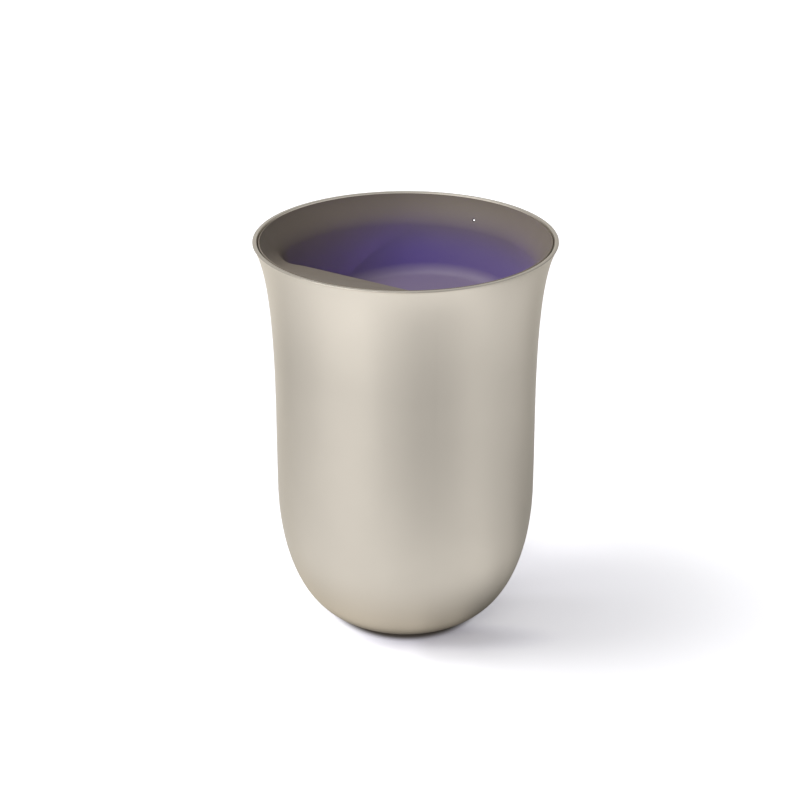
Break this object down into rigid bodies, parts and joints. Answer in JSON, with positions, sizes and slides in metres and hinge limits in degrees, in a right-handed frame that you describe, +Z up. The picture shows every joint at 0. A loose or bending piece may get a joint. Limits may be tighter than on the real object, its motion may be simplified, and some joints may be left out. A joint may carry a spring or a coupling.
{
  "type": "phone sanitizer",
  "caption": "Vase-shaped open phone sanitizer: flared satin metal shell, moulded liner with a sloping front shelf and a deep leaning phone pocket lit by ultraviolet lamps.",
  "frame": {"origin": "under the middle of the foot, on the surface it stands on", "axes": "+Z up along the shell's axis, -Y to the front, where the shelf is, +Y to the rear button and inlet"},
  "size_m": [0.13, 0.13, 0.18],
  "materials": {
    "shell_metal": "satin",
    "liner_plastic": "matt",
    "dark_plastic": "matt",
    "rubber": "matt",
    "window_glass": "polished",
    "reflector_metal": "mirror-bright",
    "board_green": "satin",
    "board_white": "satin",
    "chip_black": "matt",
    "ceramic": "satin",
    "copper": "bright",
    "ferrite": "matt",
    "shield_metal": "satin",
    "steel": "satin",
    "lead_jacket": "matt",
    "light_pipe": "clear"
  },
  "bodies": {
    "case": {"outer_shell": "shell_metal", "inner_liner": "liner_plastic", "pocket_pad": "rubber", "uv_window_upper": "window_glass", "uv_window_lower": "window_glass", "uv_reflector_upper": "reflector_metal", "uv_reflector_lower": "reflector_metal", "uv_board_upper": "board_white", "uv_board_lower": "board_white", "uv_led_upper_1": "ceramic", "uv_led_upper_2": "ceramic", "uv_led_lower_1": "ceramic", "uv_led_lower_2": "ceramic", "uv_board_screw_upper_1": "steel", "uv_board_screw_upper_2": "steel", "uv_board_screw_lower_1": "steel", "uv_board_screw_lower_2": "steel", "charging_panel": "dark_plastic", "charging_coil": "copper", "coil_ferrite": "ferrite", "coil_shield": "shield_metal", "panel_screw_1": "steel", "panel_screw_2": "steel", "panel_screw_3": "steel", "panel_screw_4": "steel", "status_lens": "light_pipe", "status_led": "ceramic", "status_board": "board_green", "foot_ring": "rubber", "base_plate": "dark_plastic", "ballast_weight": "steel", "base_screw_1": "steel", "base_screw_2": "steel", "base_screw_3": "steel", "chassis": "dark_plastic", "chassis_screw_1": "steel", "chassis_screw_2": "steel", "chassis_screw_3": "steel", "chassis_screw_4": "steel", "main_board": "board_green", "board_screw_1": "steel", "board_screw_2": "steel", "control_chip": "chip_black", "charge_chip": "chip_black", "power_inductor": "ferrite", "coil_connector": "board_white", "status_connector": "board_white", "uv_connector": "board_white", "inlet_socket": "steel", "inlet_tongue": "chip_black", "button_guide": "dark_plastic", "button_switch": "chip_black", "coil_lead": "lead_jacket", "uv_lead": "lead_jacket", "uv_link_lead": "lead_jacket", "status_lead": "lead_jacket"},
    "button": {"button_cap": "shell_metal", "switch_plunger": "light_pipe"}
  },
  "joints": [
    {"name": "button_press", "type": "slide", "parent": "case", "child": "button", "axis": [0, -1, 0], "range_m": [0, 0.0008], "stiffness_N_per_m": 2500, "springref_m": -0.0003}
  ]
}
